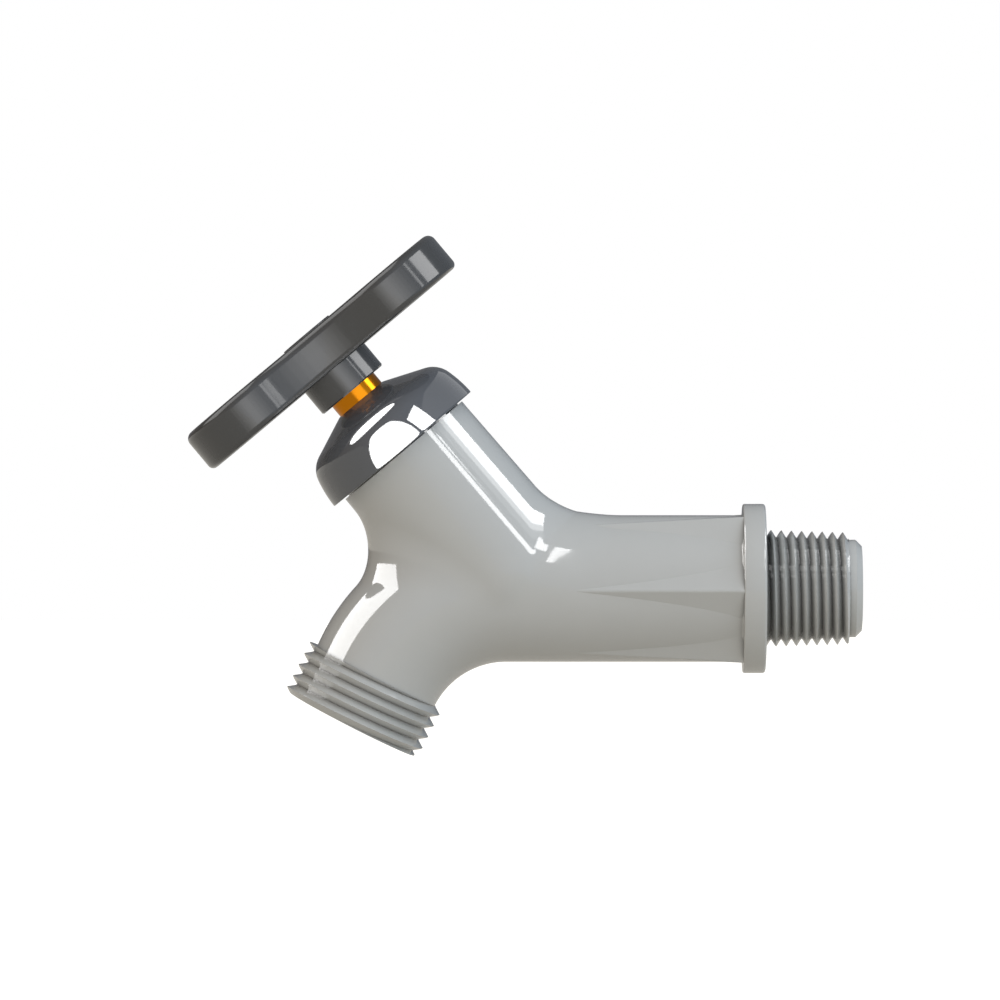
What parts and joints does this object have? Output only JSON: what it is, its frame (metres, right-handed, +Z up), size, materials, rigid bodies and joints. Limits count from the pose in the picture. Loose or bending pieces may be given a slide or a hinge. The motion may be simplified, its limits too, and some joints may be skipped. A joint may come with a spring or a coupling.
{
  "type": "plastic faucet",
  "caption": "Screw-down hose faucet: moulded Y-body with threaded inlet, flange and bent hose outlet, domed cap and waisted handle on a slanted stem.",
  "frame": {"origin": "centre of the flange's outer face, on the inlet's axis, where the inlet thread starts", "axes": "+X along the inlet towards the wall it screws into, +Z up, the body symmetric about Y = 0"},
  "size_m": [0.1194, 0.0316, 0.0922],
  "materials": {
    "body_plastic": "glossy light grey moulded plastic",
    "cap_plastic": "glossy dark grey moulded plastic",
    "guide_plastic": "plain white acetal",
    "seal_rubber": "black rubber",
    "brass": "turned brass",
    "steel": "plain zinc-plated steel",
    "handle_plastic": "satin dark grey moulded plastic"
  },
  "bodies": {
    "valve_body": {"body": "body_plastic", "bonnet_cap": "cap_plastic", "stem_guide": "guide_plastic", "guide_gasket": "seal_rubber", "packing_washer": "brass", "stem_packing": "seal_rubber", "gland_ring": "guide_plastic"},
    "jumper_set": {"jumper": "brass", "seat_washer": "seal_rubber", "washer_plate": "steel", "washer_screw": "steel"},
    "stem_set": {"stem": "brass", "handle": "handle_plastic", "handle_screw": "steel", "handle_lock_washer": "steel", "handle_plug": "handle_plastic"}
  },
  "joints": [
    {"name": "stem_rise", "type": "slide", "parent": "valve_body", "child": "jumper_set", "axis": [-0.6428, 0, 0.766], "range_m": [0, 0.0063]},
    {"name": "stem_turn", "type": "hinge", "parent": "jumper_set", "child": "stem_set", "pos_m": [-0.0435, 0, 0], "axis": [-0.6428, 0, 0.766], "range_deg": [0, 900]}
  ],
  "couplings": [
    {"joint": "stem_rise", "follows": "stem_turn", "m_per_rad": 0.00039789}
  ]
}
